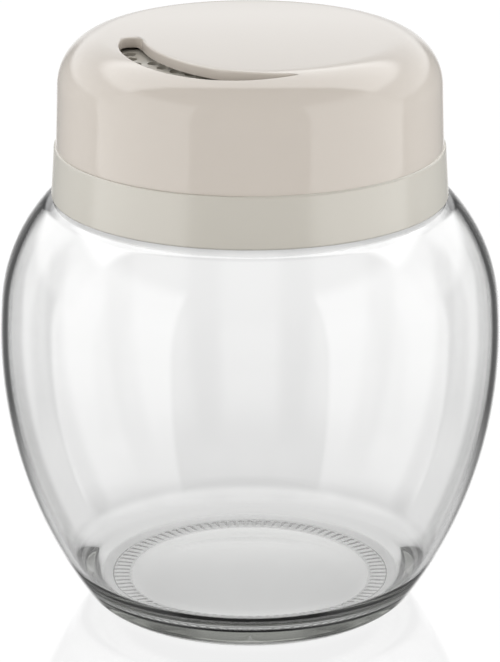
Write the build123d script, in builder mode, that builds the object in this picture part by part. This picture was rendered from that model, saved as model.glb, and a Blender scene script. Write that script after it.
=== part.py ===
from build123d import *
from math import asin, atan2, cos, degrees, hypot, radians, sin, tan
import os

# A round-bellied glass spice jar with a screw-on sifter lid. A glossy cap snaps
# over the lid and turns on it, to bring its crescent slot over the sifter holes,
# over the pour opening or over the closed part of the deck.
# Sizes are millimetres, +Z is up, and the origin is the centre of the foot.

# Glass jar
belly_radius = 47.0
belly_height = 52.0
foot_radius = 29.7  # where the side's curve would meet the ground
foot_band = 4.2  # from there to the inner edge of the foot ring
heel_round = 3.0
push_up = 1.5
floor_height = 5.0
floor_round = 10.0
glass_wall = 1.3
belly_band = 8.0  # from the widest line up to where the shoulder's curve starts
shoulder_rise = 19.5
shoulder_land = 2.5  # flat ring between the shoulder's curve and the neck
shoulder_round = 4.0
neck_radius = 33.2
neck_wall = 2.9
neck_height = 7.5
neck_root = 0.8
throat_round = 3.0
rim_round = 0.9

# Seal ring
seal_thickness = 1.0
seal_gap = 0.3  # to the skirt's bore

# Sifter lid
thread_room = 1.7  # between the neck and the skirt's bore
skirt_wall = 2.1  # at the lower edge
skirt_taper = 0.65  # how much narrower the skirt's upper edge is, in radius
skirt_gap = 0.3  # above the glass shoulder
flange_thickness = 1.5
tower_wall = 1.5
deck_thickness = 1.4
deck_chamfer = 3.0  # inside, where the deck meets the tower's wall
edge_round = 0.4

# Turning cap
cap_step = 0.35  # how far the cap's lower edge stands inside the skirt's upper edge
cap_height = 20.9
cap_draft = 2.0  # degrees
cap_crown = 1.0  # rise of the top from its edge to its centre
cap_round = 9.3
cap_skin = 1.9
cap_gap = 0.2  # above the lid's ledge
snap_room = 1.7  # between the cap's wall and the tower
deck_gap = 0.5  # between the cap's top and the deck
corner_room = 1.5

# Snap beads: the cap's bead sits under the tower's
snap_clearance = 0.35
snap_grip = 0.6
snap_play = 0.3
bead_start = 0.9
bead_height = 1.7
bead_land = 0.5

# Turn stops
turn_range = 110.0  # degrees each way from the sifting position
stop_angle = 90.0
stop_width = 2.0
stop_height = 3.0
stop_gap = 0.5  # above the tower's bead
stop_reach = 1.1
stop_clearance = 0.3

# Crescent slot, seen from above: a round outer edge, and an inner edge that
# runs nearly straight from the blunt end and then curves to the sharp tip.
# Its points are measured from the place where it comes nearest to the cap's side.
slot_margin = 8.0
slot_angle = 240.0
slot_tip = (22.7, -0.65)
slot_outer_mid = (0.4, -0.05)
slot_outer_end = (-8.8, 23.15)
slot_inner_end = (-7.0, 24.45)
slot_inner_mid = (-1.3, 12.05)
slot_bend = (7.8, 2.55)
slot_end_round = 0.9
slot_lip = 0.3

# Openings in the deck
sifter_hole = 2.3
sifter_pitch = 3.5  # along a row
sifter_row = 3.1  # from row to row
sifter_rows = 3
sifter_edge = 0.4
pour_inset = 0.6

# Heights and radii that follow
shoulder_start = belly_height + belly_band
shoulder_height = shoulder_start + shoulder_rise
rim_height = shoulder_height + neck_height
bore_radius = neck_radius - neck_wall
seat_height = rim_height + seal_thickness
ledge_height = seat_height + flange_thickness
skirt_bottom = shoulder_height + skirt_gap
skirt_bore = neck_radius + thread_room
skirt_radius = skirt_bore + skirt_wall
ledge_radius = skirt_radius - skirt_taper
cap_radius = ledge_radius - cap_step
cap_bottom = ledge_height + cap_gap
cap_top = cap_bottom + cap_height
cap_bore = cap_radius - cap_skin
tower_radius = cap_bore - snap_room
tower_bore = tower_radius - tower_wall
deck_top = cap_top - cap_skin - deck_gap
cap_bead_radius = tower_radius + snap_clearance
tower_bead_radius = cap_bead_radius + snap_grip
cap_bead_low = cap_bottom + bead_start
tower_bead_low = cap_bead_low + bead_height + snap_play
stop_low = tower_bead_low + bead_height + stop_gap

# The jar's side is three tangent arcs: belly, shoulder and shoulder round
belly_drop = belly_radius - foot_radius
side_curve = (belly_height**2 + belly_drop**2) / (2 * belly_drop)
side_centre = (belly_radius - side_curve, belly_height)
shoulder_turn = degrees(asin((shoulder_start - belly_height) / side_curve))
turn_point = (side_centre[0] + side_curve * cos(radians(shoulder_turn)), shoulder_start)
round_centre = (neck_radius + shoulder_land, shoulder_height - shoulder_round)
reach = (round_centre[0] - turn_point[0], round_centre[1] - turn_point[1])
along = reach[0] * cos(radians(shoulder_turn)) + reach[1] * sin(radians(shoulder_turn))
shoulder_curve = (hypot(*reach) ** 2 - shoulder_round**2) / (-2 * (along + shoulder_round))
shoulder_centre = (
    turn_point[0] - shoulder_curve * cos(radians(shoulder_turn)),
    turn_point[1] - shoulder_curve * sin(radians(shoulder_turn)),
)
round_turn = degrees(
    atan2(round_centre[1] - shoulder_centre[1], round_centre[0] - shoulder_centre[0])
)


def glass_side(inset, bottom):
    """Draw the jar's side at a depth below its outer surface, and return its two ends."""
    start = degrees(asin((bottom - belly_height) / (side_curve - inset)))
    belly = CenterArc(side_centre, side_curve - inset, start, shoulder_turn - start)
    CenterArc(shoulder_centre, shoulder_curve - inset, shoulder_turn, round_turn - shoulder_turn)
    top = CenterArc(round_centre, shoulder_round - inset, round_turn, 90 - round_turn)
    return belly @ 0, top @ 1


def nearest(sketch, *points):
    """The corners of a section that lie at the given points."""
    return [sketch.vertices().sort_by_distance(point)[0] for point in points]


with BuildPart() as glass_jar:
    with BuildSketch(Plane.XZ) as outside:
        with BuildLine():
            heel, edge = glass_side(0, 0)
            Polyline(edge, (neck_radius, shoulder_height), (neck_radius, rim_height), (0, rim_height))
            Line((0, rim_height), (0, push_up))
            TangentArc((0, push_up), (foot_radius - foot_band, 0), tangent=(1, 0))
            Line((foot_radius - foot_band, 0), heel)
        make_face()
        fillet(nearest(outside, heel), heel_round)
        fillet(nearest(outside, (neck_radius, shoulder_height)), neck_root)
        fillet(nearest(outside, (neck_radius, rim_height)), rim_round)
    revolve(axis=Axis.Z)
    with BuildSketch(Plane.XZ) as inside:
        with BuildLine():
            corner, edge = glass_side(glass_wall, floor_height)
            throat = (bore_radius, shoulder_height - glass_wall)
            Polyline(edge, throat, (bore_radius, rim_height), (0, rim_height), (0, floor_height), corner)
        make_face()
        fillet(nearest(inside, corner), floor_round)
        fillet(nearest(inside, throat), throat_round)
    revolve(axis=Axis.Z, mode=Mode.SUBTRACT)
    fillet(glass_jar.edges().group_by(Axis.Z)[-1].sort_by(SortBy.RADIUS)[0], rim_round)

with BuildPart() as seal_ring:
    with BuildSketch(Plane.XY.offset(rim_height)):
        Circle(skirt_bore - seal_gap)
        Circle(tower_bore, mode=Mode.SUBTRACT)
    extrude(amount=seal_thickness)


slot_place = Vector(cap_radius - slot_margin, 0).rotate(Axis.Z, slot_angle)
tip, outer_mid, outer_end, inner_end, inner_mid, bend = (
    slot_place + Vector(*point)
    for point in (slot_tip, slot_outer_mid, slot_outer_end, slot_inner_end, slot_inner_mid, slot_bend)
)


def crescent(turn=0.0, inset=0.0):
    """The slot's outline in the open sketch, turned about the jar's axis and drawn inset."""
    with BuildSketch(mode=Mode.PRIVATE) as plan:
        with BuildLine():
            ThreePointArc(tip, outer_mid, outer_end)
            Line(outer_end, inner_end)
            inner = ThreePointArc(inner_end, inner_mid, bend)
            TangentArc(bend, tip, tangent=inner % 1)
        make_face()
        fillet(nearest(plan, outer_end, inner_end), slot_end_round)
        if inset:
            offset(amount=-inset)
    add(plan.sketch.rotate(Axis.Z, turn))
    return plan.sketch.face()


def sifter_places():
    """Hole centres in rows that follow the slot's outer edge, all within the slot."""
    with BuildSketch(mode=Mode.PRIVATE):
        field = crescent(inset=sifter_edge + sifter_hole / 2)
    with BuildLine(mode=Mode.PRIVATE):
        rim = ThreePointArc(tip, outer_mid, outer_end)
    centre, radius = rim.arc_center, rim.radius
    row = radius - sifter_edge - sifter_hole / 2
    places = []
    for _ in range(sifter_rows):
        step = degrees(sifter_pitch / row)
        angle = 180.0
        while angle < 360.0:
            place = centre + Vector(row * cos(radians(angle)), row * sin(radians(angle)))
            if field.is_inside(place):
                places.append(place)
            angle += step
        row -= sifter_row
    return places


with BuildPart() as sifter_lid:
    with BuildSketch(Plane.XZ) as body:
        with BuildLine():
            Polyline(
                (tower_bore, deck_top - deck_thickness - cap_crown),
                (tower_bore, seat_height),
                (skirt_bore, seat_height),
                (skirt_bore, skirt_bottom),
                (skirt_radius, skirt_bottom),
                (ledge_radius, ledge_height),
                (tower_radius, ledge_height),
                (tower_radius, deck_top - cap_crown),
            )
            TangentArc((0, deck_top), (tower_radius, deck_top - cap_crown), tangent=(1, 0))
            Line((0, deck_top), (0, deck_top - deck_thickness))
            TangentArc(
                (0, deck_top - deck_thickness),
                (tower_bore, deck_top - deck_thickness - cap_crown),
                tangent=(1, 0),
            )
        make_face()
        fillet(nearest(body, (skirt_radius, skirt_bottom), (ledge_radius, ledge_height)), edge_round)
        deck_round = cap_round - cap_skin - corner_room
        fillet(nearest(body, (tower_radius, deck_top - cap_crown)), deck_round)
        chamfer(nearest(body, (tower_bore, deck_top - deck_thickness - cap_crown)), deck_chamfer)
        with BuildLine():
            Polyline(
                (tower_radius - tower_wall / 2, tower_bead_low),
                (tower_radius, tower_bead_low),
                (tower_bead_radius, tower_bead_low + snap_play),
                (tower_bead_radius, tower_bead_low + snap_play + bead_land),
                (tower_radius, tower_bead_low + bead_height),
                (tower_radius - tower_wall / 2, tower_bead_low + bead_height),
                close=True,
            )
        make_face()
    revolve(axis=Axis.Z)
    with BuildSketch(Plane.XY.offset(stop_low)):
        with PolarLocations(tower_radius, 1, start_angle=stop_angle):
            Rectangle(2 * stop_reach, stop_width)
    extrude(amount=stop_height)
    with BuildSketch(Plane.XY.offset(deck_top)):
        with Locations(*sifter_places()):
            Circle(sifter_hole / 2)
        crescent(-turn_range, pour_inset)
    extrude(amount=-2 * (cap_crown + deck_thickness), mode=Mode.SUBTRACT)

with BuildPart() as turning_cap:
    lean = tan(radians(cap_draft)) * (cap_height - cap_crown)
    with BuildSketch(Plane.XZ) as outside:
        with BuildLine():
            Polyline((0, cap_top), (0, cap_bottom), (cap_radius, cap_bottom))
            Line((cap_radius, cap_bottom), (cap_radius - lean, cap_top - cap_crown))
            TangentArc((0, cap_top), (cap_radius - lean, cap_top - cap_crown), tangent=(1, 0))
        make_face()
        fillet(nearest(outside, (cap_radius - lean, cap_top - cap_crown)), cap_round)
    revolve(axis=Axis.Z)
    with BuildSketch(Plane.XZ) as inside:
        with BuildLine():
            Polyline((0, cap_top - cap_skin), (0, cap_bottom), (cap_bore, cap_bottom))
            Line((cap_bore, cap_bottom), (cap_bore - lean, cap_top - cap_skin - cap_crown))
            TangentArc(
                (0, cap_top - cap_skin), (cap_bore - lean, cap_top - cap_skin - cap_crown), tangent=(1, 0)
            )
        make_face()
        fillet(nearest(inside, (cap_bore - lean, cap_top - cap_skin - cap_crown)), cap_round - cap_skin)
    revolve(axis=Axis.Z, mode=Mode.SUBTRACT)
    with BuildSketch(Plane.XZ):
        with BuildLine():
            Polyline(
                (cap_bore + cap_skin / 2, cap_bead_low),
                (cap_bore, cap_bead_low),
                (cap_bead_radius, cap_bead_low + bead_height - snap_play - bead_land),
                (cap_bead_radius, cap_bead_low + bead_height - snap_play),
                (cap_bore, cap_bead_low + bead_height),
                (cap_bore + cap_skin / 2, cap_bead_low + bead_height),
                close=True,
            )
        make_face()
    revolve(axis=Axis.Z)
    stop_spread = turn_range + degrees((stop_width + stop_clearance) / tower_bead_radius)
    with BuildSketch(Plane.XY.offset(stop_low)):
        for side in (-1, 1):
            with PolarLocations(cap_bore, 1, start_angle=stop_angle + side * stop_spread):
                Rectangle(2 * stop_reach, stop_width)
    extrude(amount=stop_height)
    with BuildSketch(Plane.XY.offset(cap_top)):
        crescent()
    extrude(amount=-2 * (cap_crown + cap_skin), mode=Mode.SUBTRACT)
    slot_rim = turning_cap.edges(Select.LAST).filter_by_position(Axis.Z, cap_top - cap_crown, cap_top)
    fillet(slot_rim, slot_lip)

os.makedirs("parts", exist_ok=True)
glass_jar.part.label = "glass_jar"
seal_ring.part.label = "seal_ring"
sifter_lid.part.label = "sifter_lid"
turning_cap.part.label = "turning_cap"
export_step(glass_jar.part, "parts/glass_jar.step")
export_step(seal_ring.part, "parts/seal_ring.step")
export_step(sifter_lid.part, "parts/sifter_lid.step")
export_step(turning_cap.part, "parts/turning_cap.step")
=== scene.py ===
# Round-bellied glass spice jar: screw-on sifter lid, foam seal and a turning cap with a crescent slot.
# Sizes are written in millimetres and scaled by mm; +Z is up and the origin is the centre of the foot.
import math

import bmesh
import bpy
from mathutils import Matrix, Vector


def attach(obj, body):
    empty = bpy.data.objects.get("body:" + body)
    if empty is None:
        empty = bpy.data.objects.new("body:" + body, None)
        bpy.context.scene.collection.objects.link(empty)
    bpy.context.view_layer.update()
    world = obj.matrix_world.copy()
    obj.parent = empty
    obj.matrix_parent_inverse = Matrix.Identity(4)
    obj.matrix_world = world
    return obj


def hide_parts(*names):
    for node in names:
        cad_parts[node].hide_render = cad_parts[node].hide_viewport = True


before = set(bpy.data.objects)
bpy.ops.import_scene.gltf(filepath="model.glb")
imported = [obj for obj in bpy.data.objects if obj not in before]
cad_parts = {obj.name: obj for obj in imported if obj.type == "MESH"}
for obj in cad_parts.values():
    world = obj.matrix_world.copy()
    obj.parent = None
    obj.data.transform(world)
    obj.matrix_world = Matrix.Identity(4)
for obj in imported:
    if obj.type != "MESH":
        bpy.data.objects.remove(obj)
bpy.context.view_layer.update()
mm = 0.001
print("frame loaded:", sorted(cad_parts))


# Shapes shared by the pieces

def arc(centre, radius, fromAngle, toAngle, steps):  # points as (radius, height), angles in degrees
    turn = [math.radians(fromAngle + (toAngle - fromAngle) * i / steps) for i in range(steps + 1)]
    return [(centre[0] + radius * math.cos(a), centre[1] + radius * math.sin(a)) for a in turn]


def spinProfile(name, points, steps):  # a full turn: an eighth is spun, then repeated, which is quicker
    bm = bmesh.new()
    verts = [bm.verts.new((r * mm, 0, z * mm)) for r, z in points]
    edges = [bm.edges.new(pair) for pair in zip(verts, verts[1:])]
    sectors = 8
    about = {"cent": (0, 0, 0), "axis": (0, 0, 1), "dvec": (0, 0, 0)}
    bmesh.ops.spin(bm, geom=verts + edges, angle=math.tau / sectors, steps=steps // sectors,
                   use_duplicate=False, **about)
    bmesh.ops.spin(bm, geom=bm.verts[:] + bm.edges[:] + bm.faces[:], angle=math.tau * (sectors - 1) / sectors,
                   steps=sectors - 1, use_duplicate=True, **about)
    bmesh.ops.remove_doubles(bm, verts=bm.verts, dist=0.002 * mm)
    bmesh.ops.recalc_face_normals(bm, faces=bm.faces)
    return finishMesh(name, bm)


def finishMesh(name, bm):  # smooth-shaded, at the origin
    for face in bm.faces:
        face.smooth = True
    mesh = bpy.data.meshes.new(name)
    bm.to_mesh(mesh)
    bm.free()
    piece = bpy.data.objects.new(name, mesh)
    bpy.context.scene.collection.objects.link(piece)
    return piece


def along(centre, radius, degrees):  # a point at an angle from a centre
    turn = math.radians(degrees)
    return (centre[0] + radius * math.cos(turn), centre[1] + radius * math.sin(turn))


def onlyVerts(items):
    return [item for item in items if isinstance(item, bmesh.types.BMVert)]


def onlyEdges(items):
    return [item for item in items if isinstance(item, bmesh.types.BMEdge)]


def smooth01(value, low, high):
    t = min(1.0, max(0.0, (value - low) / (high - low)))
    return t * t * (3 - 2 * t)


# Glass jar

jar = {
    "bellyRadius": 46.96, "bellyHeight": 52.0, "footRadius": 29.7, "footBand": 6.8, "heelRound": 7.0,
    "pushUp": 0.5, "floorHeight": 5.0, "floorRound": 10.0, "wall": 1.3, "shoulderStart": 60.0,
    "shoulderHeight": 79.5, "shoulderLand": 2.5, "shoulderRound": 4.0, "neckRadius": 33.2, "neckWall": 2.9,
    "rimHeight": 87.0, "neckRoot": 0.8, "throatRound": 3.0, "rimRound": 0.9,
    "shoulderThin": 1.0, "innerRound": 3.2,  # the wall thins by the first towards the shoulder
    "ringRadius": 26.6, "ringStep": 0.45, "ringEdge": ((0.12, 0.06), (0.2, 0.38)), "ringOut": 0.4, "steps": 360,
    "knurls": 90, "knurlDepth": 0.2, "knurlInner": 23.8, "knurlOuter": 26.3,
    "knurlOutside": 0.5, "knurlInside": 0.3, "knurlMargin": 0.6, "knurlTop": 1.0,  # the band fades at its edges
    "fineMargin": 0.7, "fineTop": 0.6,  # where the mesh is finer, for the knurls
    "threadLow": 81.3, "threadLead": 4.2, "threadTurns": 1.1, "threadHeight": 1.1, "threadWidth": 2.0,
    "threadEnds": 0.06, "threadFlank": (0.35, 1.15), "neckBand": (-0.05, 0.9),
}


def jarProfile(s):
    drop = s["bellyRadius"] - s["footRadius"]
    curve = (s["bellyHeight"] ** 2 + drop ** 2) / (2 * drop)
    side = (s["bellyRadius"] - curve, s["bellyHeight"])
    turnUp = math.degrees(math.asin((s["shoulderStart"] - s["bellyHeight"]) / curve))
    turnAt = (along(side, curve, turnUp)[0], s["shoulderStart"])
    edge = (s["neckRadius"] + s["shoulderLand"], s["shoulderHeight"] - s["shoulderRound"])
    reach = (edge[0] - turnAt[0], edge[1] - turnAt[1])
    outward = reach[0] * math.cos(math.radians(turnUp)) + reach[1] * math.sin(math.radians(turnUp))
    bend = (math.hypot(*reach) ** 2 - s["shoulderRound"] ** 2) / (-2 * (outward + s["shoulderRound"]))
    shoulder = along(turnAt, -bend, turnUp)
    edgeTurn = math.degrees(math.atan2(edge[1] - shoulder[1], edge[0] - shoulder[0]))
    footInner = s["footRadius"] - s["footBand"]

    # the outside
    dome = (footInner ** 2 + s["pushUp"] ** 2) / (2 * s["pushUp"])
    domeTurn = math.degrees(math.asin(footInner / dome))
    heelReach = math.sqrt((curve - s["heelRound"]) ** 2 - (s["bellyHeight"] - s["heelRound"]) ** 2)
    heel = (side[0] + heelReach, s["heelRound"])
    heelTurn = math.degrees(math.atan2(heel[1] - side[1], heel[0] - side[0]))
    points = arc((0, s["pushUp"] - dome), dome, 90, 90 - domeTurn, 14)
    ring, step = s["ringRadius"], s["ringStep"]
    points += [(footInner + (ring - footInner) * i / 12, 0.0) for i in range(1, 13)]
    points += [(ring + out, up) for out, up in s["ringEdge"]] + [(ring + s["ringOut"], step)]
    points += arc(heel, s["heelRound"], -math.degrees(math.asin(1 - step / s["heelRound"])), heelTurn, 12)
    points += arc(side, curve, heelTurn, turnUp, 26)[1:]
    points += arc(shoulder, bend, turnUp, edgeTurn, 16)[1:]
    points += arc(edge, s["shoulderRound"], edgeTurn, 90, 8)[1:]
    root = (s["neckRadius"] + s["neckRoot"], s["shoulderHeight"] + s["neckRoot"])
    points += arc(root, s["neckRoot"], 270, 180, 5)
    neckTop = s["rimHeight"] - s["rimRound"]
    rows = 24
    points += [(s["neckRadius"], root[1] + (neckTop - root[1]) * i / rows) for i in range(1, rows)]
    points += arc((s["neckRadius"] - s["rimRound"], neckTop), s["rimRound"], 0, 90, 6)
    bore = s["neckRadius"] - s["neckWall"]
    points += arc((bore + s["rimRound"], neckTop), s["rimRound"], 90, 180, 6)

    # the inside
    inner = s["wall"]
    turnIn = along(side, curve - inner, turnUp)
    bendIn = bend - inner + s["shoulderThin"]
    shoulderIn = along(turnIn, -bendIn, turnUp)
    roundIn = along(shoulderIn, bendIn - s["innerRound"], edgeTurn)
    throat = (bore + s["throatRound"], roundIn[1] + s["innerRound"] + s["throatRound"])
    points += arc(throat, s["throatRound"], 180, 270, 8)
    points += arc(roundIn, s["innerRound"], 90, edgeTurn, 8)
    points += arc(shoulderIn, bendIn, edgeTurn, turnUp, 16)[1:]
    cove = s["floorRound"]
    coveZ = s["floorHeight"] + cove
    hollow = curve - inner
    coveAt = (side[0] + math.sqrt((hollow - cove) ** 2 - (s["bellyHeight"] - coveZ) ** 2), coveZ)
    coveTurn = math.degrees(math.atan2(coveAt[1] - side[1], coveAt[0] - side[0]))
    points += arc(side, hollow, turnUp, coveTurn, 22)[1:]
    points += arc(coveAt, cove, coveTurn, -90, 14)[1:]
    points += [(coveAt[0] * (1 - i / 6), s["floorHeight"]) for i in range(1, 7)]
    return points


def onKnurls(edge, s):  # an edge that runs round the foot, in the knurled band
    near, far = (math.hypot(v.co.x, v.co.y) / mm for v in edge.verts)
    margin = s["fineMargin"]
    return abs(near - far) < 0.01 and s["knurlInner"] - margin < near < s["knurlOuter"] + margin


def threadRise(s, angle, z):  # 0 to 1 at a place on the neck, the highest of the laps that pass it
    best = 0.0
    for lap in range(3):
        turned = angle / math.tau + lap
        if turned > s["threadTurns"]:
            continue
        off = abs(z - s["threadLow"] - s["threadLead"] * turned) / (s["threadWidth"] / 2)
        ends = smooth01(turned, 0, s["threadEnds"]) * smooth01(s["threadTurns"] - turned, 0, s["threadEnds"])
        best = max(best, ends * (1 - smooth01(off, *s["threadFlank"])))
    return best


def raiseThreadAndKnurls(piece, s):
    neckIn, neckOut = (s["neckRadius"] + edge for edge in s["neckBand"])
    inner, outer, margin = s["knurlInner"], s["knurlOuter"], s["knurlMargin"]
    for v in piece.data.vertices:
        r, z = math.hypot(v.co.x, v.co.y) / mm, v.co.z / mm
        if r < 1e-6:
            continue
        angle = math.atan2(v.co.y, v.co.x) % math.tau
        if neckIn < r < neckOut and z > s["shoulderHeight"] + s["neckRoot"]:
            lift = 1 + threadRise(s, angle, z) * s["threadHeight"] / r
            v.co.x *= lift
            v.co.y *= lift
        if z < s["knurlTop"] and inner - margin < r < outer + margin:
            band = smooth01(r, inner - s["knurlOutside"], inner + s["knurlInside"])
            band *= 1 - smooth01(r, outer - s["knurlInside"], outer + s["knurlOutside"])
            wave = (1 - math.cos(s["knurls"] * angle)) / 2
            v.co.z += band * wave * s["knurlDepth"] * mm


def buildJar(s):
    piece = spinProfile("jar_glass", jarProfile(s), s["steps"])
    bm = bmesh.new()
    bm.from_mesh(piece.data)
    ring = [e for e in bm.edges if all(v.co.z < s["fineTop"] * mm for v in e.verts) and onKnurls(e, s)]
    bmesh.ops.subdivide_edges(bm, edges=ring, cuts=1, use_grid_fill=True)
    for face in bm.faces:
        face.smooth = True
    bm.to_mesh(piece.data)
    bm.free()
    raiseThreadAndKnurls(piece, s)
    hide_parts("glass_jar")
    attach(piece, "jar")
    return piece


# Thread inside the lid's skirt, half a lead below the neck's thread

lidThread = {
    "bore": 34.9, "root": 0.1, "crest": 33.85, "low": 79.2, "lead": 4.2, "from": 0.35, "turns": 1.0,
    "width": 1.5, "crestShare": 3, "ends": 0.07, "stepsPerTurn": 96,
}


def buildLidThread(s):
    bm = bmesh.new()
    half, start = s["width"] / 2, s["low"] + s["lead"] * s["from"]
    root, crestHalf = s["bore"] + s["root"], half / s["crestShare"]
    corners = ((root, -half), (s["bore"], -half), (s["crest"], -crestHalf), (s["crest"], crestHalf),
               (s["bore"], half), (root, half))
    verts = [bm.verts.new((r * mm, 0, (start + z) * mm)) for r, z in corners]
    section = bm.faces.new(verts)
    steps = int(s["stepsPerTurn"] * s["turns"])
    bmesh.ops.spin(bm, geom=[section] + section.edges[:] + verts, cent=(0, 0, 0), axis=(0, 0, 1),
                   dvec=(0, 0, s["lead"] * mm / s["stepsPerTurn"]), angle=math.tau * s["turns"], steps=steps,
                   use_duplicate=False)
    for v in bm.verts:
        r = math.hypot(v.co.x, v.co.y) / mm
        turned = (v.co.z / mm - start) / s["lead"]
        ends = smooth01(turned, 0, s["ends"]) * smooth01(s["turns"] - turned, 0, s["ends"])
        k = (s["bore"] - (s["bore"] - r) * ends) / r if r < s["bore"] else 1
        v.co = (v.co.x * k, v.co.y * k, v.co.z)
    turn = math.tau * s["from"]
    bmesh.ops.rotate(bm, verts=bm.verts, cent=(0, 0, 0), matrix=Matrix.Rotation(turn, 3, "Z"))
    bmesh.ops.recalc_face_normals(bm, faces=bm.faces)
    piece = finishMesh("lid_thread", bm)
    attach(piece, "lid")
    return piece


# Turning cap

cap = {
    "radius": 36.0, "bottom": 89.505, "top": 110.6, "draft": 2.0, "crown": 1.0, "round": 9.3, "skin": 1.9,
    "edge": 32.6, "innerEdge": 32.2, "points": 320, "rings": 44,
    "beadLow": 90.6, "beadHeight": 1.7, "beadLand": 0.5, "beadRise": 1.35, "beadSlope": 0.3,
    "bottomRound": 0.05, "sharpAngle": 38.0,
    "slotOuter": (22.25, -1.51, -7.95, 171.0, 295.2),  # radius, centre and the angles it runs between
    "slotInner": (30.73, 10.73, -0.35), "slotInnerFrom": 188.0, "slotInnerTo": 237.5,
    "slotTip": (24.94, 4.02, -3.35, 248.2, 280.2), "slotEndBulge": 1.2,
    "frontFrom": 190.0, "frontTo": 288.0, "lip": 0.35,
}


def slotOutline(s):  # round the outer edge to the tip, then back along the inner edge, in two lists
    radius, x, y, low, high = s["slotOuter"]
    outer = arc((x, y), radius, low, high, 80)
    radius, x, y, low, high = s["slotTip"]
    inner = arc((x, y), radius, high, low, 40)
    radius, x, y = s["slotInner"]
    inner += arc((x, y), radius, s["slotInnerTo"], s["slotInnerFrom"], 60)
    start, end = Vector(outer[0]), Vector(inner[-1])
    middle, across = (start + end) / 2, (start - end) / 2
    away = Vector((-across.y, across.x)).normalized() * s["slotEndBulge"]
    away = away if away.y > 0 else -away
    blunt = [middle - across * math.cos(a) + away * math.sin(a) for a in (math.pi * i / 16 for i in range(17))]
    return outer, inner + [tuple(p) for p in blunt[1:-1]]


def evenly(points, count):  # the same line at equal distances, without its last point
    points = [Vector(p) for p in points]
    lengths = [0.0]
    for a, b in zip(points, points[1:]):
        lengths.append(lengths[-1] + (b - a).length)
    even, at = [], 0
    for i in range(count):
        want = lengths[-1] * i / count
        while lengths[at + 1] < want:
            at += 1
        part = (want - lengths[at]) / max(lengths[at + 1] - lengths[at], 1e-9)
        even.append(points[at].lerp(points[at + 1], part))
    return even


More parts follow.
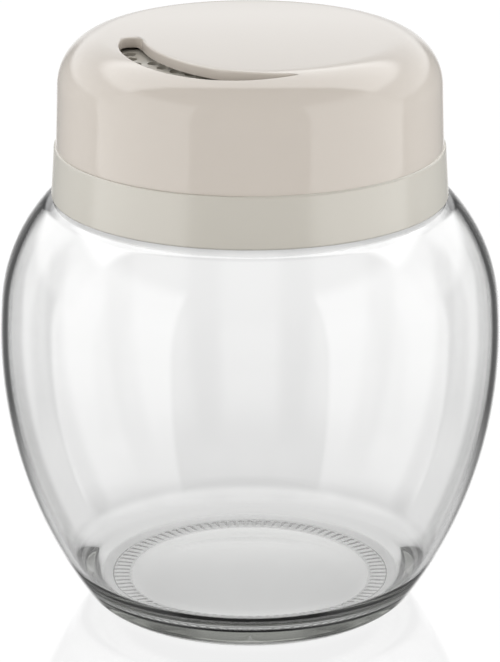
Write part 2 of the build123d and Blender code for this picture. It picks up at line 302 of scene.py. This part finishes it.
def buildCap(s):
    lean = math.tan(math.radians(s["draft"]))
    shoulder = s["radius"] - lean * (s["top"] - s["bottom"] - s["crown"])
    crown = shoulder ** 2 / (2 * s["crown"]) + s["crown"] / 2
    roundZ = s["top"] - s["round"]
    for _ in range(30):  # where the round touches both the side and the crown
        roundR = s["radius"] - lean * (roundZ - s["bottom"]) - s["round"] / math.cos(math.radians(s["draft"]))
        roundZ = s["top"] - crown + math.sqrt((crown - s["round"]) ** 2 - roundR ** 2)

    def height(r, depth):
        inside = crown - depth
        if r < inside * roundR / (crown - s["round"]):
            return s["top"] - crown + math.sqrt(inside ** 2 - r ** 2)
        return roundZ + math.sqrt(max((s["round"] - depth) ** 2 - (r - roundR) ** 2, 0.0))

    outer, inner = slotOutline(s)
    front = round(s["points"] * (s["frontTo"] - s["frontFrom"]) / 360)
    outline = evenly(outer + inner[:1], front) + evenly(inner + outer[:1], s["points"] - front)
    turns = [math.radians(s["frontFrom"] + 360 * i / s["points"]) for i in range(s["points"])]
    turnAt = {(round(p.x, 4), round(p.y, 4)): turn for p, turn in zip(outline, turns)}

    bm = bmesh.new()
    verts = [bm.verts.new((p.x, p.y, 0)) for p in outline]
    rim = [bm.edges.new((a, b)) for a, b in zip(verts, verts[1:] + verts[:1])]

    def spread(edges, toRadius):  # a sheet from the slot's outline to a circle about the jar's axis
        new = bmesh.ops.extrude_edge_only(bm, edges=edges)["geom"]
        for v in onlyVerts(new):
            turn = turnAt[(round(v.co.x, 4), round(v.co.y, 4))]
            v.co.x, v.co.y = toRadius * math.cos(turn), toRadius * math.sin(turn)

    spread(rim, s["edge"])
    wall = bmesh.ops.extrude_edge_only(bm, edges=rim)["geom"]
    foot = onlyVerts(wall)
    footEdges = [e for e in onlyEdges(wall) if all(v in foot for v in e.verts)]
    bmesh.ops.translate(bm, verts=foot, vec=(0, 0, -s["skin"]))
    spread(footEdges, s["innerEdge"])
    bmesh.ops.bevel(bm, geom=rim, offset=s["lip"], offset_type="OFFSET", segments=4, profile=0.5,
                    affect="EDGES", material=-1, clamp_overlap=False)

    def onCircle(v, radius):
        return abs(math.hypot(v.co.x, v.co.y) - radius) < 0.001

    def isRay(edge, radius, level):  # runs from the slot to the circle
        return sum(onCircle(v, radius) and abs(v.co.z - level) < 0.01 for v in edge.verts) == 1

    for radius, level in ((s["edge"], 0), (s["innerEdge"], -s["skin"])):
        rays = [e for e in bm.edges if isRay(e, radius, level)]
        bmesh.ops.subdivide_edges(bm, edges=rays, cuts=s["rings"], use_grid_fill=True)
    ring = [e for e in bm.edges if all(onCircle(v, s["edge"]) for v in e.verts)]
    for v in bm.verts:
        r = math.hypot(v.co.x, v.co.y)
        v.co.z = height(r, s["skin"]) if v.co.z < -s["skin"] + 0.01 else height(r, 0) + v.co.z

    # the side, the lower edge, the snap bead and the inside
    turn = math.degrees(math.acos((s["edge"] - roundR) / s["round"]))
    side = arc((roundR, roundZ), s["round"], turn, s["draft"], 14)[1:]
    low = (s["radius"], s["bottom"])
    top = side[-1]
    side += [(top[0] + (low[0] - top[0]) * i / 8, top[1] + (low[1] - top[1]) * i / 8) for i in range(1, 8)]
    side += arc((low[0] - s["bottomRound"], low[1] + s["bottomRound"]), s["bottomRound"], 0, -90, 3)
    bore = s["radius"] - s["skin"]
    bead = (bore - s["beadRise"], s["beadLow"] + s["beadHeight"])
    beadTop = bead[1] - s["beadSlope"]
    side += [(bore, low[1]), (bore, s["beadLow"]), (bead[0], bead[1] - s["beadLand"] - s["beadSlope"]),
             (bead[0], beadTop), (bore, bead[1])]
    turn = math.degrees(math.acos((s["innerEdge"] - roundR) / (s["round"] - s["skin"])))
    side += arc((roundR, roundZ), s["round"] - s["skin"], s["draft"], turn, 10)
    for r, z in side:
        new = bmesh.ops.extrude_edge_only(bm, edges=ring)["geom"]
        moved = onlyVerts(new)
        for v in moved:
            k = r / math.hypot(v.co.x, v.co.y)
            v.co = (v.co.x * k, v.co.y * k, z)
        ring = [e for e in onlyEdges(new) if all(v in moved for v in e.verts)]
    bmesh.ops.remove_doubles(bm, verts=bm.verts, dist=0.002)
    bmesh.ops.recalc_face_normals(bm, faces=bm.faces)
    bmesh.ops.scale(bm, vec=(mm, mm, mm), verts=bm.verts)
    for edge in bm.edges:
        edge.smooth = edge.calc_face_angle(0) < math.radians(s["sharpAngle"])
    piece = finishMesh("cap_shell", bm)
    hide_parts("turning_cap")
    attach(piece, "cap")
    return piece


# Materials

def newMaterial(name):
    material = bpy.data.materials.new(name)
    material.use_nodes = True
    nodes = material.node_tree.nodes
    nodes.clear()
    out = nodes.new("ShaderNodeOutputMaterial")
    shader = nodes.new("ShaderNodeBsdfPrincipled")
    material.node_tree.links.new(shader.outputs["BSDF"], out.inputs["Surface"])
    return material, nodes, material.node_tree.links, shader, out


def objectNoise(nodes, links, scale, detail):
    coords = nodes.new("ShaderNodeTexCoord")
    noise = nodes.new("ShaderNodeTexNoise")
    noise.inputs["Scale"].default_value = scale
    noise.inputs["Detail"].default_value = detail
    links.new(coords.outputs["Object"], noise.inputs["Vector"])
    return noise


def glassFinish(s):
    material, nodes, links, shader, out = newMaterial("clearGlass")
    shader.inputs["Base Color"].default_value = (1, 1, 1, 1)
    shader.inputs["IOR"].default_value = s["ior"]
    coords = nodes.new("ShaderNodeTexCoord")
    parts = nodes.new("ShaderNodeSeparateXYZ")
    flat = nodes.new("ShaderNodeVectorMath")
    flat.operation = "MULTIPLY"
    flat.inputs[1].default_value = (1, 1, 0)
    reach = nodes.new("ShaderNodeVectorMath")
    reach.operation = "LENGTH"
    links.new(coords.outputs["Object"], parts.inputs[0])
    links.new(coords.outputs["Object"], flat.inputs[0])
    links.new(flat.outputs["Vector"], reach.inputs[0])
    fromCentre = nodes.new("ShaderNodeMapRange")
    fromCentre.inputs["From Min"].default_value = (s["frostFrom"] - s["frostFade"]) * mm
    fromCentre.inputs["From Max"].default_value = (s["frostFrom"] + s["frostFade"]) * mm
    links.new(reach.outputs["Value"], fromCentre.inputs["Value"])
    upwards = nodes.new("ShaderNodeMapRange")
    upwards.inputs["From Min"].default_value = s["frostHeight"] * mm
    upwards.inputs["From Max"].default_value = 2 * s["frostHeight"] * mm
    upwards.inputs["To Min"].default_value = s["frost"]
    upwards.inputs["To Max"].default_value = 0.0
    links.new(parts.outputs["Z"], upwards.inputs["Value"])
    frost = nodes.new("ShaderNodeMath")  # the foot ring is worn matt where it stands
    frost.operation = "MULTIPLY"
    links.new(fromCentre.outputs["Result"], frost.inputs[0])
    links.new(upwards.outputs["Result"], frost.inputs[1])
    links.new(frost.outputs[0], shader.inputs["Roughness"])
    shader.inputs["Transmission Weight"].default_value = 1.0
    tint = nodes.new("ShaderNodeVolumeAbsorption")
    tint.inputs["Color"].default_value = s["tint"]
    tint.inputs["Density"].default_value = s["density"]
    links.new(tint.outputs["Volume"], out.inputs["Volume"])
    path = nodes.new("ShaderNodeLightPath")
    clear = nodes.new("ShaderNodeBsdfTransparent")
    clear.inputs["Color"].default_value = s["shade"]
    lampsPass = nodes.new("ShaderNodeMixShader")  # lamps light what is behind the glass
    links.new(path.outputs["Is Shadow Ray"], lampsPass.inputs[0])
    links.new(shader.outputs["BSDF"], lampsPass.inputs[1])
    links.new(clear.outputs[0], lampsPass.inputs[2])
    links.new(lampsPass.outputs[0], out.inputs["Surface"])
    ripple = objectNoise(nodes, links, s["rippleScale"], 2.0)
    bump = nodes.new("ShaderNodeBump")
    bump.inputs["Strength"].default_value = s["ripple"]
    bump.inputs["Distance"].default_value = s["rippleDepth"] * mm
    links.new(ripple.outputs["Fac"], bump.inputs["Height"])
    links.new(bump.outputs["Normal"], shader.inputs["Normal"])
    return material


plasticIor = 1.5


def plasticFinish(name, s):
    material, nodes, links, shader, out = newMaterial(name)
    cloud = objectNoise(nodes, links, s["cloudScale"], 3.0)
    ramp = nodes.new("ShaderNodeMapRange")
    ramp.inputs["To Min"].default_value = 1 - s["cloud"]
    ramp.inputs["To Max"].default_value = 1 + s["cloud"]
    links.new(cloud.outputs["Fac"], ramp.inputs["Value"])
    tone = nodes.new("ShaderNodeVectorMath")
    tone.operation = "SCALE"
    tone.inputs[0].default_value = s["colour"]
    links.new(ramp.outputs["Result"], tone.inputs["Scale"])
    links.new(tone.outputs["Vector"], shader.inputs["Base Color"])
    shader.inputs["Roughness"].default_value = s["roughness"]
    shader.inputs["IOR"].default_value = plasticIor
    shader.inputs["Specular IOR Level"].default_value = s["shine"]
    grain = objectNoise(nodes, links, s["grainScale"], 4.0)
    bump = nodes.new("ShaderNodeBump")
    bump.inputs["Strength"].default_value = s["grain"]
    bump.inputs["Distance"].default_value = s["grainDepth"] * mm
    links.new(grain.outputs["Fac"], bump.inputs["Height"])
    links.new(bump.outputs["Normal"], shader.inputs["Normal"])
    return material


def wear(piece, material):
    piece.data.materials.clear()
    piece.data.materials.append(material)


finishes = {
    "glass": {"ior": 1.52, "tint": (0.835, 0.84, 0.826, 1), "density": 90.0, "shade": (0.95, 0.95, 0.94, 1),
              "frost": 0.5, "frostFrom": 23.0, "frostFade": 0.5, "frostHeight": 0.6,
              "rippleScale": 22.0, "ripple": 0.05, "rippleDepth": 0.2},
    "lid": {"colour": (0.572, 0.542, 0.48), "cloudScale": 40.0, "cloud": 0.015, "roughness": 0.2, "shine": 0.5,
            "grainScale": 2500.0, "grain": 0.08, "grainDepth": 0.02},
    "cap": {"colour": (0.605, 0.55, 0.49), "cloudScale": 40.0, "cloud": 0.012, "roughness": 0.07, "shine": 0.33,
            "grainScale": 2500.0, "grain": 0.05, "grainDepth": 0.02},
    "foam": {"colour": (0.82, 0.82, 0.78), "cloudScale": 300.0, "cloud": 0.04, "roughness": 0.8, "shine": 0.3,
             "grainScale": 4000.0, "grain": 0.5, "grainDepth": 0.05},
}

jarPiece = buildJar(jar)
wear(jarPiece, glassFinish(finishes["glass"]))
print("jar built:", len(jarPiece.data.polygons), "faces")
capPiece = buildCap(cap)
print("cap built:", len(capPiece.data.polygons), "faces")
threadPiece = buildLidThread(lidThread)
lidFinish = plasticFinish("lidPlastic", finishes["lid"])
capFinish = plasticFinish("capPlastic", finishes["cap"])
foamFinish = plasticFinish("sealFoam", finishes["foam"])
wear(capPiece, capFinish)
wear(threadPiece, lidFinish)
for node, finish, slotName in (
    ("sifter_lid", lidFinish, "lid_plastic"),
    ("seal_ring", foamFinish, "seal_foam"),
):
    wear(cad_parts[node], finish)


# Studio

studio = {
    "cameraAway": 620.0, "cameraUp": 261.0, "aim": 52.5, "focal": 3464.0, "imageHeight": 662, "sensor": 36.0,
    "clipStart": 0.05,
    "floorSize": 6.0, "floorDrop": 0.02, "floorColour": (0.95, 0.95, 0.95, 1), "floorShine": 0.12,
    "floorWhite": 0.95, "floorRoughness": 0.03,
    # lamps, in metres and watts
    "lampAway": 0.8, "lampHeight": 0.28, "lampAim": 0.06,
    "lampAzimuth": 60.0, "lampSize": 0.8, "lampPower": 4.0,
    "rimAzimuth": 120.0, "rimSize": 0.6, "rimPower": 2.3, "rimColour": (0.85, 0.92, 1.0),
    "topPlace": (0, 0.25, 0.9), "topAim": 0.1, "topSize": (0.8, 0.5), "topPower": 1.0,
    # the world: levels, and spans of direction (degrees round from the front, or parts of a unit sphere)
    "ambient": 0.40,
    "fields": 8, "fieldWidth": 11.0, "fieldEdge": 9.0,
    "flagLevel": 0.03, "frontFlag": 0.35, "flagSpan": (-0.3, 0.3),
    "wallLevel": 0.98, "tableLevel": 0.82, "tableSpan": (-0.7, -0.3), "belowSpan": (-0.5, -0.35),
    "patchLevel": 0.2, "patchRise": (-0.52, -0.43), "patchFall": (-0.39, -0.29),
    "shadeLevel": 0.28, "shadeSpan": (-0.9, -0.7), "ceilingLevel": 0.5, "ceilingSpan": (0.25, 0.5),
    "frontLevel": 0.25, "sideLevel": 0.5, "sideSpan": (95, 107), "flankLevel": 0.25, "flankSpan": (115, 140),
    "rearSpan": (160, 170), "cardLevel": 1.8, "cardInner": 35.5, "innerSoft": 1.5, "cardOuter": 101.0,
    "outerSoft": 2, "cardTop": 0.63, "topSoft": 0.08, "cardBottom": -0.63, "bottomSoft": 0.05,
    "backLevel": 1.6, "panelLevel": 4.4, "panelSpan": (0.5, 0.62),
    "behindSpan": (-0.06, 0.06), "raisedSpan": (0.08, 0.2),
}


def lookAt(thing, place, target):
    thing.location = place
    thing.rotation_mode = "QUATERNION"
    thing.rotation_quaternion = (Vector(target) - Vector(place)).to_track_quat("-Z", "Y")


def makeCamera(s):
    data = bpy.data.cameras.new("camera")
    data.sensor_width = s["sensor"]
    data.lens = s["focal"] * s["sensor"] / s["imageHeight"]
    data.clip_start = s["clipStart"]
    camera = bpy.data.objects.new("camera", data)
    bpy.context.scene.collection.objects.link(camera)
    lookAt(camera, (0, -s["cameraAway"] * mm, s["cameraUp"] * mm), (0, 0, s["aim"] * mm))
    bpy.context.scene.camera = camera


def makeFloor(s):  # white to the camera, matt to the lamps, with a faint mirror of the jar
    bm = bmesh.new()
    bmesh.ops.create_grid(bm, x_segments=1, y_segments=1, size=s["floorSize"] / 2)
    floor = finishMesh("floor", bm)
    floor.location.z = -s["floorDrop"] * mm
    material = bpy.data.materials.new("floorSheet")
    material.use_nodes = True
    nodes, links = material.node_tree.nodes, material.node_tree.links
    nodes.clear()
    matt = nodes.new("ShaderNodeBsdfDiffuse")
    matt.inputs["Color"].default_value = s["floorColour"]
    white = nodes.new("ShaderNodeEmission")
    path = nodes.new("ShaderNodeLightPath")
    share = nodes.new("ShaderNodeMath")
    share.operation = "MULTIPLY"
    share.inputs[1].default_value = s["floorWhite"]
    links.new(path.outputs["Is Camera Ray"], share.inputs[0])
    sheet = nodes.new("ShaderNodeMixShader")
    links.new(share.outputs[0], sheet.inputs[0])
    links.new(matt.outputs[0], sheet.inputs[1])
    links.new(white.outputs[0], sheet.inputs[2])
    shine = nodes.new("ShaderNodeBsdfGlossy")
    shine.inputs["Roughness"].default_value = s["floorRoughness"]
    polished = nodes.new("ShaderNodeMixShader")
    polished.inputs[0].default_value = s["floorShine"]
    links.new(sheet.outputs[0], polished.inputs[1])
    links.new(shine.outputs[0], polished.inputs[2])
    out = nodes.new("ShaderNodeOutputMaterial")
    links.new(polished.outputs[0], out.inputs["Surface"])
    wear(floor, material)
    floor.visible_glossy = False
    floor.visible_transmission = False


def makeLamp(name, place, target, size, power, colour=(1, 1, 1)):  # lights things, but never shows itself
    data = bpy.data.lights.new(name, "AREA")
    data.shape = "RECTANGLE"
    data.size, data.size_y = size
    data.energy = power
    data.color = colour
    lamp = bpy.data.objects.new(name, data)
    bpy.context.scene.collection.objects.link(lamp)
    lookAt(lamp, place, target)
    lamp.visible_camera = lamp.visible_glossy = lamp.visible_transmission = False


def makeWorld(s):
    world = bpy.data.worlds.new("studioWorld")
    bpy.context.scene.world = world
    world.use_nodes = True
    nodes, links = world.node_tree.nodes, world.node_tree.links
    nodes.clear()

    def feed(node, values):  # a number is set on its socket, and an output is linked to it
        for key, value in values.items():
            if isinstance(value, (int, float)):
                node.inputs[key].default_value = value
            else:
                links.new(value, node.inputs[key])

    def calc(operation, *values):
        node = nodes.new("ShaderNodeMath")
        node.operation = operation
        feed(node, dict(enumerate(values)))
        return node.outputs[0]

    def between(value, span, atLow, atHigh):  # eases from one level to the other over the span
        node = nodes.new("ShaderNodeMapRange")
        node.interpolation_type = "SMOOTHSTEP"
        feed(node, {"From Min": span[0], "From Max": span[1], "To Min": atLow, "To Max": atHigh})
        feed(node, {"Value": value})
        return node.outputs["Result"]

    def choose(switch, first, second):
        node = nodes.new("ShaderNodeMix")
        feed(node, {"Factor": switch, "A": first, "B": second})
        return node.outputs["Result"]

    def turned(span):
        return tuple(math.radians(angle) for angle in span)

    def around(middle, soft):
        return (middle - soft, middle + soft)

    coords = nodes.new("ShaderNodeTexCoord")
    parts = nodes.new("ShaderNodeSeparateXYZ")
    links.new(coords.outputs["Generated"], parts.inputs[0])
    x, y, z = parts.outputs
    azimuth = calc("ARCTAN2", x, y)
    fromFront = calc("SUBTRACT", math.pi, calc("ABSOLUTE", azimuth))

    # through glass: bright fields every 45 degrees with black flags between, white below, a dim ceiling above
    wave = calc("COSINE", calc("MULTIPLY", azimuth, float(s["fields"])))
    bright = math.cos(math.radians(s["fields"] * s["fieldWidth"]))
    dark = math.cos(math.radians(s["fields"] * (s["fieldWidth"] + s["fieldEdge"])))
    patch = between(z, s["patchFall"], s["patchLevel"], 0.0)
    patch = calc("MULTIPLY", between(z, s["patchRise"], 0.0, 1.0), patch)
    table = calc("SUBTRACT", between(z, s["tableSpan"], s["tableLevel"], s["wallLevel"]), patch)
    table = between(z, s["shadeSpan"], s["shadeLevel"], table)  # the table's shade close to the jar
    flags = between(y, s["flagSpan"], s["frontFlag"], s["flagLevel"])
    fields = between(wave, (dark, bright), flags, table)
    below = between(z, s["belowSpan"], table, 0.0)
    above = between(z, s["ceilingSpan"], 0.0, 1.0)
    through = choose(above, calc("MAXIMUM", fields, below), s["ceilingLevel"])

    # in reflections: two tall soft boxes at the sides, a backdrop behind and a panel overhead
    room = between(fromFront, turned(s["sideSpan"]), s["frontLevel"], s["sideLevel"])
    room = between(fromFront, turned(s["flankSpan"]), room, s["flankLevel"])
    room = between(fromFront, turned(s["rearSpan"]), room, 1.0)
    box = between(fromFront, turned(around(s["cardInner"], s["innerSoft"])), 0.0, s["cardLevel"])
    for value, span, atLow, atHigh in (
        (fromFront, turned(around(s["cardOuter"], s["outerSoft"])), 1.0, 0.0),
        (z, around(s["cardTop"], s["topSoft"]), 1.0, 0.0),
        (z, around(s["cardBottom"], s["bottomSoft"]), 0.0, 1.0),
    ):
        box = calc("MULTIPLY", box, between(value, span, atLow, atHigh))
    low = calc("ADD", room, box)
    panel = between(z, s["panelSpan"], s["backLevel"], s["panelLevel"])
    behind = calc("MULTIPLY", between(y, s["behindSpan"], 0.0, 1.0), between(z, s["raisedSpan"], 0.0, 1.0))
    mirror = choose(behind, low, panel)

    path = nodes.new("ShaderNodeLightPath")
    strength = choose(path.outputs["Is Glossy Ray"], s["ambient"], mirror)
    strength = choose(path.outputs["Is Transmission Ray"], strength, through)
    strength = choose(calc("MINIMUM", path.outputs["Diffuse Depth"], 1.0), strength, s["ambient"])
    strength = choose(path.outputs["Is Camera Ray"], strength, 1.0)
    back = nodes.new("ShaderNodeBackground")
    back.inputs["Color"].default_value = (1, 1, 1, 1)
    links.new(strength, back.inputs["Strength"])
    out = nodes.new("ShaderNodeOutputWorld")
    links.new(back.outputs["Background"], out.inputs["Surface"])


makeCamera(studio)
makeFloor(studio)
for name, side, azimuth, size, power, colour in (
    ("leftLamp", -1, "lampAzimuth", "lampSize", "lampPower", (1, 1, 1)),
    ("rightLamp", 1, "lampAzimuth", "lampSize", "lampPower", (1, 1, 1)),
    ("leftRimLamp", -1, "rimAzimuth", "rimSize", "rimPower", studio["rimColour"]),
    ("rightRimLamp", 1, "rimAzimuth", "rimSize", "rimPower", studio["rimColour"]),
):
    turn = math.radians(studio[azimuth]) * side
    away = studio["lampAway"]
    place = (away * math.sin(turn), -away * math.cos(turn), studio["lampHeight"])
    makeLamp(name, place, (0, 0, studio["lampAim"]), (studio[size], studio[size]), studio[power], colour)
makeLamp("topLamp", studio["topPlace"], (0, 0, studio["topAim"]), studio["topSize"], studio["topPower"])
makeWorld(studio)
scene = bpy.context.scene
scene.view_settings.view_transform = "Standard"
print("studio ready")
